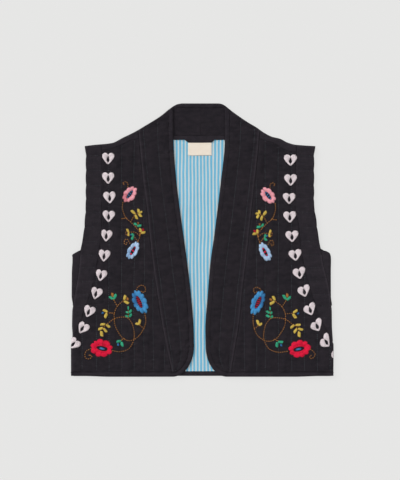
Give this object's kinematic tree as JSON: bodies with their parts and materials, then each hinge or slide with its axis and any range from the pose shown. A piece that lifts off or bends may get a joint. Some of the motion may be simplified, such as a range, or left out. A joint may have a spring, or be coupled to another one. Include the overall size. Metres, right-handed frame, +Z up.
{
  "type": "quilted cotton vest",
  "caption": "Sleeveless open-fronted quilted cotton vest lying flat, with a wide neck band, bound edges, crosswise quilted armhole strips and a striped lining.",
  "frame": {"origin": "middle of the vest's rectangle, on the surface that it lies on", "axes": "+Z up out of the front of the vest, +Y from hem to neck, +X to the right of someone looking at the front"},
  "size_m": [0.526, 0.547, 0.0092],
  "materials": {
    "black_cotton": "matt slubby black cotton, quilted over thin wadding",
    "black_binding": "matt black cotton tape and binding",
    "striped_lining": "fine blue and off-white striped cotton",
    "cream_tape": "plain cream woven tape",
    "pale_pink_thread": "satin-stitched cotton thread",
    "rose_thread": "satin-stitched cotton thread",
    "red_thread": "satin-stitched cotton thread",
    "blue_thread": "satin-stitched cotton thread",
    "light_blue_thread": "satin-stitched cotton thread",
    "yellow_thread": "satin-stitched cotton thread",
    "green_thread": "satin-stitched cotton thread",
    "brown_thread": "stem-stitched cotton thread",
    "quilting_thread": "fine cotton quilting thread"
  },
  "bodies": {
    "root": {"armhole_strip_left": "black_cotton", "armhole_strip_right": "black_cotton", "back_body": "black_cotton", "back_hem_binding": "black_binding", "back_lining": "striped_lining", "back_neck_binding": "black_binding", "front_binding_left": "black_binding", "front_binding_right": "black_binding", "front_left": "black_cotton", "front_right": "black_cotton", "hanger_loop": "black_binding", "label": "cream_tape", "neck_band_left": "black_cotton", "neck_band_right": "black_cotton", "neck_seam_tape": "black_binding"}
  },
  "joints": []
}
